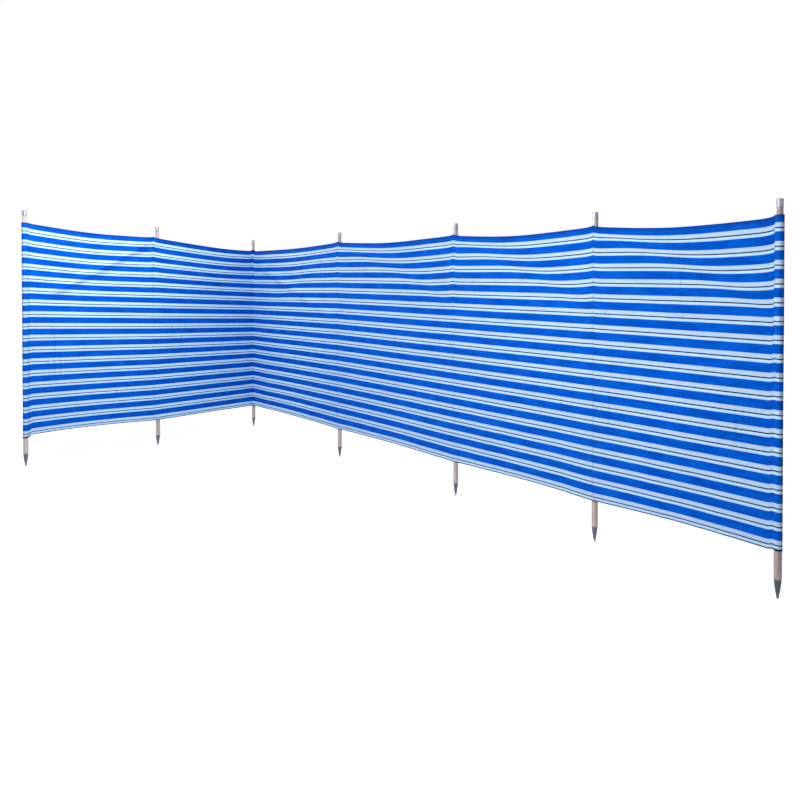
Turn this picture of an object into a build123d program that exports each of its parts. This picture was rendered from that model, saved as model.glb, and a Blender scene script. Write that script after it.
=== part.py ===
"""Beach windbreak: a striped cloth screen held up by seven wooden posts.

The cloth is one long length, sewn into an upright sleeve at each post. Between the
posts it hangs as six bays, in two wings that meet at the corner post. Each post is
a round pole with a pressed metal cap on its turned head and a rolled metal spike
round its tapered foot. Lengths are in millimetres and angles in degrees. +Z is up, the origin
is the blunt tip of the corner post's spike, and the wings open towards -Y.
"""

from build123d import *

import os
from math import cos, radians, sin

os.makedirs("parts", exist_ok=True)

# Standing plan: (length between post axes, heading from +X) of each bay, from the corner post out
left_wing = [(994.0, 238.1), (914.0, 230.5)]
right_wing = [(1292.0, -49.1), (1132.0, -47.0), (926.0, -47.1), (809.0, -44.4)]

# How far each spike tip stands above the corner post's tip, from left to right
foot_rises = [103.0, 51.0, 0.0, 0.0, 0.0, 0.0, 0.0]
# How far the cloth has slipped down each post, from left to right
cloth_slips = [8.0, 4.0, 12.0, 0.0, 0.0, 0.0, -5.0]

# Post: from the top of its cap to the tip of its spike
post_length = 1632.0
post_diameter = 30.0

# Turned head, thinner than the shaft, down to a shoulder hidden in the sleeve
head_diameter = 25.0
head_length = 95.0

# Spike: a cone of rolled sheet, closed and solid at its blunt tip
spike_length = 81.0
spike_wall = 1.4
spike_tip_diameter = 8.0
spike_tip_solid = 14.0
spike_bulge = 1.0

# Cap: a pressed cup with a rounded edge
cap_length = 33.0
cap_wall = 0.9
cap_edge_radius = 3.0

# Cloth: its height at the posts, the bare pole and spike below it, and how far its
# top edge sags and its hem rises halfway between two posts
cloth_height = 1372.0
cloth_lift = 190.0
cloth_thickness = 3.0
top_sag = 22.0
hem_rise = 9.0
sleeve_wall = 2.0

# Clearances: cap to pole, spike to pole, sleeve to pole, bay to sleeve, bay to bay
cap_clearance = 0.2
spike_clearance = 0.3
sleeve_clearance = 0.3
bay_clearance = 0.3
seam_gap = 0.6

# Sizes that follow
pole_radius = post_diameter / 2
pole_top = post_length - cap_wall
head_radius = head_diameter / 2
shoulder_top = pole_top - head_length
shoulder_drop = pole_radius - head_radius
cap_inner_radius = head_radius + cap_clearance
cap_outer_radius = cap_inner_radius + cap_wall
sleeve_inner_radius = pole_radius + sleeve_clearance
sleeve_outer_radius = sleeve_inner_radius + sleeve_wall
spike_tip_radius = spike_tip_diameter / 2
spike_rim_inner_radius = pole_radius - spike_wall
spike_slope = (pole_radius - spike_tip_radius) / spike_length
spike_end_inner_radius = spike_tip_radius + spike_slope * spike_tip_solid - spike_wall
half_cloth = cloth_thickness / 2
half_gap = seam_gap / 2


def walk(wing):
    """Plan positions of a wing's posts, starting beside the corner post."""
    place = Vector(0, 0, 0)
    places = []
    for length, heading in wing:
        place = place + Vector(cos(radians(heading)), sin(radians(heading)), 0) * length
        places.append(place)
    return places


def inward(start, end):
    """Unit vector square to a bay, towards the space that the wings enclose."""
    along = (end - start).normalized()
    return Vector(along.Y, -along.X, 0)


def upright(foot):
    """Upright plane through a post's axis: x to the right, y up from its spike tip."""
    return Plane(origin=foot, x_dir=(1, 0, 0), z_dir=(0, -1, 0))


def mitre(post, shift):
    """Upright plane through a post's seam, facing along the cloth from left to right."""
    across = post_inward[post]
    return Plane(origin=seams[post] + shift, x_dir=across, z_dir=(-across.Y, across.X, 0))


plan = walk(left_wing)[::-1] + [Vector(0, 0, 0)] + walk(right_wing)
feet = [place + Vector(0, 0, rise) for place, rise in zip(plan, foot_rises)]
hem_heights = [rise + cloth_lift - slip for rise, slip in zip(foot_rises, cloth_slips)]

# Each post's inward direction halves the angle between the bays beside it
bay_inward = [inward(start, end) for start, end in zip(plan, plan[1:])]
post_inward = [
    (before + after).normalized()
    for before, after in zip(bay_inward[:1] + bay_inward, bay_inward + bay_inward[-1:])
]

# Half the length of each bay's mitred end, and the seam in front of each sleeve
half_mitres = [
    half_cloth / direction.dot(side)
    for direction, side in zip(post_inward, bay_inward + bay_inward[-1:])
]
seams = [
    place + direction * (sleeve_outer_radius + bay_clearance + half_mitre)
    for place, direction, half_mitre in zip(plan, post_inward, half_mitres)
]

for number, foot in enumerate(feet, start=1):
    axis = Axis(foot, (0, 0, 1))

    # Pole: rounded and turned head, sloping shoulder, shaft, tapered foot inside the spike
    with BuildPart() as pole:
        with BuildSketch(upright(foot)):
            with BuildLine():
                Polyline(
                    (0, pole_top),
                    (head_radius, pole_top),
                    (head_radius, shoulder_top),
                    (pole_radius, shoulder_top - shoulder_drop),
                    (pole_radius, spike_length),
                    (spike_rim_inner_radius - spike_clearance, spike_length),
                    (spike_end_inner_radius - spike_clearance, spike_tip_solid + spike_clearance),
                    (0, spike_tip_solid + spike_clearance),
                    close=True,
                )
            make_face()
        revolve(axis=axis)
        fillet(pole.edges().filter_by(GeomType.CIRCLE).sort_by(Axis.Z)[-1], cap_edge_radius)
    pole.part.label = f"pole_{number}"
    export_step(pole.part, f"parts/pole_{number}.step")

    # Cap: a cup pressed over the pole's head
    with BuildPart() as cap:
        with BuildSketch(upright(foot)):
            with BuildLine():
                Polyline(
                    (0, post_length),
                    (cap_outer_radius, post_length),
                    (cap_outer_radius, post_length - cap_length),
                    (cap_inner_radius, post_length - cap_length),
                    (cap_inner_radius, pole_top),
                    (0, pole_top),
                    close=True,
                )
            make_face()
        revolve(axis=axis)
        rounds = cap.edges().filter_by(GeomType.CIRCLE).group_by(Axis.Z)
        fillet(rounds[-1], cap_edge_radius)
        fillet(rounds[-2], cap_edge_radius - cap_wall)
    cap.part.label = f"cap_{number}"
    export_step(cap.part, f"parts/cap_{number}.step")

    # Spike: slightly bulging cone, hollow from its rim down to the solid tip
    with BuildPart() as spike:
        with BuildSketch(upright(foot)):
            with BuildLine():
                outside = ThreePointArc(
                    (spike_tip_radius, 0),
                    ((spike_tip_radius + pole_radius) / 2 + spike_bulge, spike_length / 2),
                    (pole_radius, spike_length),
                )
                Polyline(
                    outside @ 1,
                    (spike_rim_inner_radius, spike_length),
                    (spike_end_inner_radius, spike_tip_solid),
                    (0, spike_tip_solid),
                    (0, 0),
                    outside @ 0,
                )
            make_face()
        revolve(axis=axis)
    spike.part.label = f"spike_{number}"
    export_step(spike.part, f"parts/spike_{number}.step")

    # Sleeve: the tube of cloth sewn round the pole
    with BuildPart() as sleeve:
        with BuildSketch(Plane(origin=(foot.X, foot.Y, hem_heights[number - 1]))):
            Circle(sleeve_outer_radius)
            Circle(sleeve_inner_radius, mode=Mode.SUBTRACT)
        extrude(amount=cloth_height)
    sleeve.part.label = f"sleeve_{number}"
    export_step(sleeve.part, f"parts/sleeve_{number}.step")

for number in range(1, len(plan)):
    left = number - 1
    right = number
    span = (seams[right] - seams[left]).length
    along = (seams[right] - seams[left]).normalized()
    low_left = hem_heights[left]
    low_right = hem_heights[right]
    high_left = low_left + cloth_height
    high_right = low_right + cloth_height
    overrun = half_mitres[left] + half_mitres[right] + seam_gap

    # Bay: a thin sheet with a sagging top and a raised hem, mitred at both seams
    with BuildPart() as bay:
        with BuildSketch(Plane(origin=seams[left], x_dir=along, z_dir=inward(seams[left], seams[right]))):
            with BuildLine():
                top = Bezier(
                    (-overrun, high_left),
                    (span / 2, (high_left + high_right) / 2 - 2 * top_sag),
                    (span + overrun, high_right),
                )
                hem = Bezier(
                    (-overrun, low_left),
                    (span / 2, (low_left + low_right) / 2 + 2 * hem_rise),
                    (span + overrun, low_right),
                )
                Line(top @ 0, hem @ 0)
                Line(top @ 1, hem @ 1)
            make_face()
        extrude(amount=half_cloth, both=True)
        split(bisect_by=mitre(left, along * half_gap), keep=Keep.TOP)
        split(bisect_by=mitre(right, along * -half_gap), keep=Keep.BOTTOM)
    bay.part.label = f"cloth_bay_{number}"
    export_step(bay.part, f"parts/cloth_bay_{number}.step")
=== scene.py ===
"""Visual model of a beach windbreak: striped cloth on seven wooden posts.

The posts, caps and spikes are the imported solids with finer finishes. The cloth is made
here: six bays and seven sleeves, each a thin two-sided sheet with folded hems, sewn with
visible thread. Lengths are in metres. Posts and bays are numbered from left to right as
seen from inside the wings, and "inward" is the side that the wings enclose.
"""

import logging
import math
from dataclasses import dataclass, field
from enum import Enum

import bpy
import numpy as np
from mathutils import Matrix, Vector


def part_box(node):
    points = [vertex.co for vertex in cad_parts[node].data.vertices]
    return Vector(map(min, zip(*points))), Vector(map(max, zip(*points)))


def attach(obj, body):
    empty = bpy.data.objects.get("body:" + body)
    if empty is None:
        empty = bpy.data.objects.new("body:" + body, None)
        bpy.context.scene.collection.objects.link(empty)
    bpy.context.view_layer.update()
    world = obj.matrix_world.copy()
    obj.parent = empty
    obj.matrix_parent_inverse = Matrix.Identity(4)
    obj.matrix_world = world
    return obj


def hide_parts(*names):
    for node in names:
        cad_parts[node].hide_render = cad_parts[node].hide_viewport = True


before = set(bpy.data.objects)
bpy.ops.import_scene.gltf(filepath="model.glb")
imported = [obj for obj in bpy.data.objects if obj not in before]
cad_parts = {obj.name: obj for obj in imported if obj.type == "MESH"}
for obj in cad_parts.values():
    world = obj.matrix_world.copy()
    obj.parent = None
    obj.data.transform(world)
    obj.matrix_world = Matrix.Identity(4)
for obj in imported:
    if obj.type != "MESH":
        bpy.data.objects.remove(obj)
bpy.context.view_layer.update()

log = logging.getLogger("windbreak")

Colour = tuple[float, float, float, float]
Pair = tuple[float, float]
Triple = tuple[float, float, float]
Grid = np.ndarray
Socket = bpy.types.NodeSocket
Material = bpy.types.Material
Piece = bpy.types.Object

CLOTH_UV = "cloth"
BAY_SPACING = 1.7  # between the starts of two bays on the cloth's map
SLEEVE_START, SLEEVE_SPACING = 14, 0.3  # where the sleeves are on the cloth's map
LOOP_LIFT = 0.003  # how far an end post's loop stands above the bays
LOOP_SHRINK = 0.004  # how far the right end's loop has drawn up at its hem
HEM_REACH = 0.15  # how far above its hem the cloth is drawn up
CLOTH_CREASE = 50  # sharpest turn in degrees that is shaded smoothly on cloth
WHITE: Colour = (1.0, 1.0, 1.0, 1.0)
FADING = (1.0, 0.0)  # for a mask that goes from full to nothing


def srgb(red: int, green: int, blue: int) -> Colour:
    """Turn a display colour into the linear colour that a shader takes.

    Args:
        red: Red, from 0 to 255.
        green: Green, from 0 to 255.
        blue: Blue, from 0 to 255.

    Returns:
        Linear red, green and blue, and full alpha.
    """
    shares = (value / 255 for value in (red, green, blue))
    linear = (s / 12.92 if s <= 0.04045 else ((s + 0.055) / 1.055) ** 2.4 for s in shares)
    return (*linear, 1.0)


def soft_noise(across: Grid, down: Grid, seed: int) -> Grid:
    """Smooth gradient noise with hills about one unit apart, that repeats after 64 of them.

    Args:
        across: Places along the first direction, in hills.
        down: Places along the second direction, in hills.
        seed: Picks the lattice, so the same seed gives the same cloth.

    Returns:
        Heights of about -0.7 to 0.7 in the shape of the places.
    """
    cells = 64
    angles = np.random.default_rng(seed).uniform(0, 2 * math.pi, (cells, cells))
    left, top = np.floor(across).astype(int), np.floor(down).astype(int)
    x, y = across - left, down - top

    def corner(i: int, j: int) -> Grid:
        """Slope of one lattice corner at each place."""
        angle = angles[(left + i) % cells, (top + j) % cells]
        return np.cos(angle) * (x - i) + np.sin(angle) * (y - j)

    fade_x, fade_y = (s**3 * (s * (6 * s - 15) + 10) for s in (x, y))
    upper = corner(0, 0) * (1 - fade_x) + corner(1, 0) * fade_x
    lower = corner(0, 1) * (1 - fade_x) + corner(1, 1) * fade_x
    return upper * (1 - fade_y) + lower * fade_y


def ramp(value: Grid, width: float) -> Grid:
    """The value where it is above nought and nothing below, rounded over a width."""
    return width * np.logaddexp(0, value / width)


def lesser(first: Grid, second: Grid) -> Grid:
    """The lesser of two lengths, a fifth less where they are equal, so that the change is round."""
    return first * second / np.cbrt(first**3 + second**3 + 1e-15)


def step(value: Grid, start: float, end: float) -> Grid:
    """A smooth rise from 0 at the start to 1 at the end."""
    share = np.clip((value - start) / (end - start), 0, 1)
    return share * share * (3 - 2 * share)


def hill(value: Grid, middle: float, width: float) -> Grid:
    """A rounded hill of height 1 at the middle, gone about two widths away."""
    return np.exp(-(((value - middle) / width) ** 2))


def nearest(places: Grid, place: float) -> int:
    """Number of the place that is nearest to a wanted one."""
    return int(np.argmin(abs(places - place)))


def graded(length: float, spacing: float, fine: tuple[float, ...]) -> Grid:
    """Places along a length: fine ones near both ends and even ones between.

    Args:
        length: The whole length.
        spacing: Spacing of the even places.
        fine: Rising distances of the fine places from either end.

    Returns:
        Rising places from 0 to the length.
    """
    near = np.array(fine)
    inner = length - 2 * near[-1]
    even = np.linspace(near[-1], near[-1] + inner, max(2, round(inner / spacing)) + 1)
    return np.concatenate([near[:-1], even, length - near[-2::-1]])


def show(name: str, data: bpy.types.ID) -> Piece:
    """Put a mesh, a lamp or a camera into the scene.

    Args:
        name: Name of the new object.
        data: What it shows.

    Returns:
        The object, unturned at the origin.
    """
    piece = bpy.data.objects.new(name, data)
    bpy.context.scene.collection.objects.link(piece)
    return piece


def smooth(mesh: bpy.types.Mesh, angle: float) -> None:
    """Shade a mesh smoothly, apart from edges sharper than an angle in degrees."""
    mesh.shade_smooth()
    mesh.set_sharp_from_angle(angle=math.radians(angle))


class Seam(Enum):
    """Where cloth is sewn at a post: sideways place of the left and the right line, and how far inward."""

    LEFT_END = (0.0155, 0.0155, 0.0088)
    MIDDLE_LEFT = (-0.0440, 0.0060, 0.0165)
    CORNER = (0.0, 0.0, 0.0195)
    MIDDLE_RIGHT = (-0.0050, 0.0450, 0.0165)
    RIGHT_END = (-0.0152, -0.0152, 0.0090)

    @property
    def left(self) -> Pair:
        """Left line of stitches, sideways and inward from the post's axis."""
        return self.value[0], self.value[2]

    @property
    def right(self) -> Pair:
        """Right line of stitches, sideways and inward from the post's axis."""
        return self.value[1], self.value[2]

    @property
    def pocket(self) -> float:
        """Flat width of the pocket between the two lines, or nought where one line closes a loop."""
        return self.value[1] - self.value[0]


@dataclass(frozen=True)
class Post:
    """One standing post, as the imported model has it."""

    number: int
    foot: Vector
    hem: float
    head: float
    inward: Vector
    seam: Seam

    @property
    def along(self) -> Vector:
        """Unit vector along the cloth, from left to right."""
        return Vector((-self.inward.y, self.inward.x, 0))

    @property
    def seam_place(self) -> Vector:
        """Plan place of the line at which one bay ends and the next begins."""
        sideways, forward = self.seam.left
        return Vector((self.foot.x, self.foot.y, 0)) + self.along * sideways + self.inward * forward

    def loop_rise(self, depth: Grid) -> Grid:
        """How far the closed loop at an end post is above an even hanging, by depth from its top."""
        shrunk = LOOP_SHRINK if self.seam is Seam.RIGHT_END else 0.0
        return LOOP_LIFT + shrunk * np.exp(-np.maximum(self.head - self.hem - depth, 0) / HEM_REACH)


class Layout:
    """Where the posts stand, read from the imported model."""

    def __init__(self) -> None:
        """Find the posts and the way that each of them faces."""
        count = sum(name.startswith("pole_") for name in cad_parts)
        feet, hems, heads = [], [], []
        for number in range(1, count + 1):
            low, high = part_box(f"spike_{number}")
            feet.append(Vector(((low.x + high.x) / 2, (low.y + high.y) / 2, low.z)))
            low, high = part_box(f"sleeve_{number}")
            hems.append(low.z)
            heads.append(high.z)
        sides = [self.inward(start, end) for start, end in zip(feet, feet[1:])]
        faces = [(before + after).normalized() for before, after in zip(sides[:1] + sides, sides + sides[-1:])]
        corner = min(range(1, count - 1), key=lambda i: sides[i - 1].dot(sides[i]))
        kinds = {0: Seam.LEFT_END, corner: Seam.CORNER, count - 1: Seam.RIGHT_END}
        between = [Seam.MIDDLE_LEFT if i < corner else Seam.MIDDLE_RIGHT for i in range(count)]
        self.posts = [
            Post(i + 1, feet[i], hems[i], heads[i], faces[i], kinds.get(i, between[i])) for i in range(count)
        ]

    @staticmethod
    def inward(start: Vector, end: Vector) -> Vector:
        """Unit vector square to a bay, towards the space that the wings enclose."""
        run = (end - start).xy.normalized()
        return Vector((run.y, -run.x, 0))


class Nodes:
    """Short calls for building a shader or geometry node tree."""

    def __init__(self, tree: bpy.types.NodeTree) -> None:
        """Work on one tree."""
        self.tree = tree

    def add(self, kind: str, inputs: dict | None = None, **settings) -> bpy.types.Node:
        """Add a node.

        Args:
            kind: The node's type name.
            inputs: Sockets or plain values, by input name or number.
            settings: The node's own properties.

        Returns:
            The new node.
        """
        node = self.tree.nodes.new(kind)
        for name, value in settings.items():
            setattr(node, name, value)
        self.fill(node, inputs or {})
        return node

    def fill(self, node: bpy.types.Node, inputs: dict) -> None:
        """Feed several inputs of a node, by name or number."""
        for name, value in inputs.items():
            self.feed(node.inputs[name], value)

    def feed(self, target: Socket, value: object) -> None:
        """Link a socket to an input, or set the input's own value.

        Args:
            target: The input.
            value: A socket, or a plain value of the input's kind.
        """
        if isinstance(value, Socket):
            self.tree.links.new(value, target)
        else:
            target.default_value = value

    def maths(self, operation: str, *values: object) -> Socket:
        """Result of a Math node on sockets or numbers."""
        return self.add("ShaderNodeMath", dict(enumerate(values)), operation=operation).outputs[0]

    def times(self, first: object, second: object) -> Socket:
        """Product of two sockets or numbers."""
        return self.maths("MULTIPLY", first, second)

    def vector(self, operation: str, *values: object) -> bpy.types.Node:
        """Vector Math node on sockets or vectors."""
        return self.add("ShaderNodeVectorMath", dict(enumerate(values)), operation=operation)

    def group(self, tree: bpy.types.NodeTree, **inputs) -> bpy.types.NodeOutputs:
        """Outputs of a shared effect, placed here with its own values."""
        return self.add("ShaderNodeGroup", inputs, node_tree=tree).outputs

    def here(self) -> Socket:
        """Object coordinates."""
        return self.add("ShaderNodeTexCoord").outputs["Object"]

    def moved(self, place: Socket, offset: object) -> Socket:
        """Place moved by an offset."""
        return self.add("ShaderNodeMapping", {"Vector": place, "Location": offset}).outputs[0]

    def blend(self, share: object, first: object, second: object, kind: str = "MIX") -> Socket:
        """Mix two colours.

        Args:
            share: How far to go, from 0 to 1.
            first: Colour at 0.
            second: Colour at 1.
            kind: Way of mixing.

        Returns:
            The mixed colour.
        """
        node = self.add("ShaderNodeMix", data_type="RGBA", blend_type=kind, clamp_factor=True)
        for name, value in (("Factor_Float", share), ("A_Color", first), ("B_Color", second)):
            self.feed(next(s for s in node.inputs if s.identifier == name), value)
        return next(s for s in node.outputs if s.identifier == "Result_Color")

    def mark(self, colour: Socket, mask: Socket, share: float, second: object) -> Socket:
        """Colour with a share of a second one where a mask says."""
        return self.blend(self.times(mask, share), colour, second)

    def remap(self, value: object, low: float, high: float, to: Pair = (0.0, 1.0)) -> Socket:
        """Value stretched smoothly from a range to another, and kept inside it."""
        inputs = {"Value": value, "From Min": low, "From Max": high, "To Min": to[0], "To Max": to[1]}
        return self.add("ShaderNodeMapRange", inputs, interpolation_type="SMOOTHSTEP").outputs[0]

    def noise(self, place: Socket, scale: object, detail: float = 2.0, rough: float = 0.5) -> Socket:
        """Plain noise of 0 to 1 at a place."""
        inputs = {"Vector": place, "Scale": scale, "Detail": detail, "Roughness": rough}
        return self.add("ShaderNodeTexNoise", inputs).outputs[0]

    def streaks(self, place: Socket, scales: tuple, detail: float = 2.0, rough: float = 0.5) -> Socket:
        """Noise with its own scale in each direction."""
        return self.noise(self.vector("MULTIPLY", place, scales).outputs[0], 1.0, detail, rough)

    def parts(self, place: Socket) -> tuple[Socket, Socket, Socket]:
        """The three numbers of a vector."""
        return tuple(self.add("ShaderNodeSeparateXYZ", {0: place}).outputs)

    def bump(self, height: Socket, distance: float, strength: float, under: Socket | None = None) -> Socket:
        """Normal that a height gives, on top of another normal."""
        inputs = {"Height": height, "Distance": distance, "Strength": strength, "Normal": under}
        return self.add("ShaderNodeBump", {k: v for k, v in inputs.items() if v is not None}).outputs[0]


def new_group(name: str, gives: tuple[str, ...], **values: float) -> tuple[Nodes, dict, bpy.types.Node]:
    """Start a shader node group that takes a place.

    Args:
        name: The group's name.
        gives: Names of its outputs, which are all numbers.
        values: Default value of each further input, by name.

    Returns:
        The group's nodes, its input sockets by name, and its output node.
    """
    tree = bpy.data.node_groups.new(name, "ShaderNodeTree")
    tree.interface.new_socket("Place", in_out="INPUT", socket_type="NodeSocketVector")
    for title, value in values.items():
        tree.interface.new_socket(title, in_out="INPUT", socket_type="NodeSocketFloat").default_value = value
    for title in gives:
        tree.interface.new_socket(title, in_out="OUTPUT", socket_type="NodeSocketFloat")
    nodes = Nodes(tree)
    source = nodes.add("NodeGroupInput")
    return nodes, {title: source.outputs[title] for title in ("Place", *values)}, nodes.add("NodeGroupOutput")


class Effects:
    """Shader node groups that several finishes share."""

    def __init__(self) -> None:
        """Build each group once."""
        self.yarns = self.build_yarns()
        self.grime = self.build_grime()
        self.fibres = self.build_fibres()
        self.scratches = self.build_scratches()

    @staticmethod
    def build_yarns() -> bpy.types.NodeTree:
        """Plain weave.

        Returns:
            A group that gives the height of the yarns and the uneven shade of single yarns.
        """
        nodes, takes, output = new_group("yarns", ("Height", "Shade"), Pitch=0.0007)
        place = takes["Place"]
        across, down, _ = nodes.parts(place)
        turn = nodes.maths("DIVIDE", math.pi, takes["Pitch"])
        waves = [nodes.maths("COSINE", nodes.times(value, turn)) for value in (across, down)]
        weft = nodes.streaks(place, (6.0, 420.0, 1.0), detail=3.0, rough=0.6)
        warp = nodes.streaks(place, (420.0, 6.0, 1.0), detail=3.0, rough=0.6)
        shade = nodes.maths("MULTIPLY_ADD", weft, 0.6, nodes.times(warp, 0.4))
        nodes.fill(output, {"Height": nodes.times(*waves), "Shade": shade})
        return nodes.tree

    @staticmethod
    def build_grime() -> bpy.types.NodeTree:
        """Patches of dust and handling marks.

        Returns:
            A group that gives a mask.
        """
        nodes, takes, output = new_group("grime", ("Mask",), Size=9.0, Cover=0.5)
        patches = nodes.noise(takes["Place"], takes["Size"], detail=5.0, rough=0.62)
        edge = nodes.maths("SUBTRACT", 1.0, takes["Cover"])
        mask = nodes.times(nodes.maths("SUBTRACT", patches, edge), 4.0)
        nodes.fill(output, {"Mask": nodes.add("ShaderNodeClamp", {0: mask}).outputs[0]})
        return nodes.tree

    @staticmethod
    def build_fibres() -> bpy.types.NodeTree:
        """Straight wood grain along a pole.

        Returns:
            A group that gives a broad figure, fine fibres and small knots.
        """
        nodes, takes, output = new_group("fibres", ("Figure", "Fibres", "Knots"))
        place = takes["Place"]
        bend = nodes.noise(place, 5.0)
        aside = nodes.add("ShaderNodeCombineXYZ", {0: bend, 1: bend}).outputs[0]
        aside = nodes.vector("MULTIPLY", aside, (0.012, 0.012, 0.0)).outputs[0]
        wander = nodes.vector("ADD", place, aside).outputs[0]
        cells = nodes.vector("MULTIPLY", place, (30.0, 30.0, 6.5)).outputs[0]
        spots = nodes.add("ShaderNodeTexVoronoi", {"Vector": cells, "Scale": 1.0}).outputs["Distance"]
        gives = {
            "Figure": nodes.streaks(wander, (150.0, 150.0, 5.0), detail=3.0, rough=0.6),
            "Fibres": nodes.streaks(wander, (1300.0, 1300.0, 28.0), rough=0.6),
            "Knots": nodes.remap(spots, 0.10, 0.17, FADING),
        }
        nodes.fill(output, gives)
        return nodes.tree

    @staticmethod
    def build_scratches() -> bpy.types.NodeTree:
        """Rubbed metal.

        Returns:
            A group that gives fine rings round the piece, dents, and bright worn spots.
        """
        nodes, takes, output = new_group("scratches", ("Rings", "Dents", "Rub"))
        place = takes["Place"]
        gives = {
            "Rings": nodes.streaks(place, (60.0, 60.0, 2400.0)),
            "Dents": nodes.noise(place, 110.0),
            "Rub": nodes.remap(nodes.noise(place, 320.0, detail=4.0, rough=0.65), 0.52, 0.7),
        }
        nodes.fill(output, gives)
        return nodes.tree


def new_material(name: str) -> tuple[Material, Nodes, bpy.types.Node]:
    """Start a material.

    Args:
        name: The material's name.

    Returns:
        The material, its nodes and its Principled shader.
    """
    material = bpy.data.materials.new(name)
    material.use_nodes = True
    return material, Nodes(material.node_tree), material.node_tree.nodes["Principled BSDF"]


@dataclass(frozen=True)
class ClothFinish:
    """Yarn-dyed striped cotton: blue bands between pale groups split by a dark line.

    Pairs give a range down the cloth, away from a seam, or along the cloth for the lighter pale
    bands, and those of a bump its distance and strength. Triples are the scales of a noise.
    """

    blue: Colour = srgb(2, 92, 208)
    deep_blue: Colour = srgb(1, 79, 189)
    top_fold_shade: Colour = srgb(2, 60, 150)
    pale: Colour = srgb(184, 210, 236)
    lighter_pale: Colour = srgb(206, 237, 255)
    slim_pale: Colour = srgb(188, 221, 250)
    lighter_slim_pale: Colour = srgb(194, 233, 255)
    line: Colour = srgb(8, 24, 74)
    hem_edge_shade: Colour = srgb(12, 30, 84)
    thick_yarn: Colour = (0.55, 0.58, 0.66, 1.0)
    dust: Colour = srgb(150, 158, 176)
    first: float = 0.035
    repeat: float = 0.0762
    wide: float = 0.0187
    line_end: float = 0.0240
    slim_end: float = 0.0364
    edge: float = 0.0005
    hem_start: float = 1.3664
    top_fold: Pair = (0.003, 0.022)
    seam_shade: Pair = (0.002, 0.011)
    lighter_grows: Pair = (1.2, 3.5)
    lighter_goes: Pair = (5.7, 6.5)
    yarn: float = 0.0007
    mottling: Triple = (9.0, 26.0, 1.0)
    crumpling: Triple = (34.0, 48.0, 1.0)
    crease_bends: Triple = (14.0, 1.1, 1.0)
    crease_patches: Triple = (3.0, 2.2, 1.0)
    crease_edge: Pair = (0.002, 0.010)
    crease_bump: Pair = (0.0008, 0.5)
    crumple_bump: Pair = (0.0012, 0.35)
    yarn_bump: Pair = (0.00012, 0.5)
    top_shade_share: float = 0.8
    seam_share: float = 0.22
    crease_shade_share: float = 0.16
    yarn_share: float = 0.10
    dust_share: float = 0.03
    roughness: float = 0.8
    gloss: float = 0.12
    gloss_tint: Colour = srgb(90, 160, 255)
    sheen: float = 0.05
    sheen_roughness: float = 0.5

    def build(self, effects: Effects) -> Material:
        """Make the cloth's material from its own map: along the cloth and down from its top.

        Args:
            effects: The shared node groups.

        Returns:
            The material.
        """
        material, nodes, shader = new_material("striped_cloth")
        place = nodes.add("ShaderNodeUVMap", uv_map=CLOTH_UV).outputs[0]
        crease = self.creases(nodes, place)
        yarns = nodes.group(effects.yarns, Place=place, Pitch=self.yarn)
        uneven = nodes.remap(yarns["Shade"], 0.30, 0.70, (self.yarn_share, 0.0))
        grime = nodes.group(effects.grime, Place=place, Size=3.2, Cover=0.42)[0]
        # painted shade: the stripes darkened along the rolling creases
        colour = nodes.mark(self.stripes(nodes, place), crease, self.crease_shade_share, self.line)
        colour = nodes.blend(uneven, colour, self.thick_yarn, "MULTIPLY")
        crumple = nodes.streaks(place, self.crumpling, detail=4.0, rough=0.55)
        normal = nodes.bump(crease, *self.crease_bump, nodes.bump(crumple, *self.crumple_bump))
        inputs = {
            "Base Color": nodes.mark(colour, grime, self.dust_share, self.dust),
            "Roughness": self.roughness,
            "Specular IOR Level": self.gloss,
            "Specular Tint": self.gloss_tint,
            "Sheen Weight": self.sheen,
            "Sheen Tint": self.gloss_tint,
            "Sheen Roughness": self.sheen_roughness,
            "Normal": nodes.bump(yarns["Height"], *self.yarn_bump, normal),
        }
        nodes.fill(shader, inputs)
        return material

    def stripes(self, nodes: Nodes, place: Socket) -> Socket:
        """Dyed stripes, with lighter pale bands from bay 1 to the middle of bay 3, and painted shade at the top
        fold, along the bottom edge and beside the seams.

        Args:
            nodes: The material's nodes.
            place: The cloth's own map.

        Returns:
            The colour.
        """
        along, depth, _ = nodes.parts(place)
        from_first = nodes.maths("SUBTRACT", depth, self.first)
        phase = self.within(nodes, from_first, self.repeat)
        mottle = nodes.streaks(place, self.mottling, detail=3.0, rough=0.55)
        blue = nodes.blend(nodes.remap(mottle, 0.36, 0.64), self.blue, self.deep_blue)
        # pale bands lighter and cooler along the cloth from bay 1 to the middle of bay 3
        lighter_share = nodes.times(nodes.remap(along, *self.lighter_grows), nodes.remap(along, *self.lighter_goes, FADING))
        wide = nodes.blend(lighter_share, self.pale, self.lighter_pale)
        slim = nodes.blend(lighter_share, self.slim_pale, self.lighter_slim_pale)
        pale = self.over(nodes, phase, self.line_end, wide, slim)
        pale = nodes.blend(self.band(nodes, phase, self.wide, self.line_end), pale, self.line)
        colour = self.over(nodes, phase, self.slim_end, pale, blue)
        # painted shade: the last few millimetres above the bottom edge drawn dark navy
        colour = self.over(nodes, depth, self.hem_start, colour, self.hem_edge_shade)
        # painted shade: the blue darkened near the top edge, where the top hem is folded
        top = nodes.remap(depth, *self.top_fold, (self.top_shade_share, 0.0))
        colour = nodes.blend(top, colour, self.top_fold_shade)
        from_seam = self.within(nodes, along, BAY_SPACING)
        return nodes.blend(nodes.remap(from_seam, *self.seam_shade, (self.seam_share, 0.0)), colour, self.line)

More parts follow.
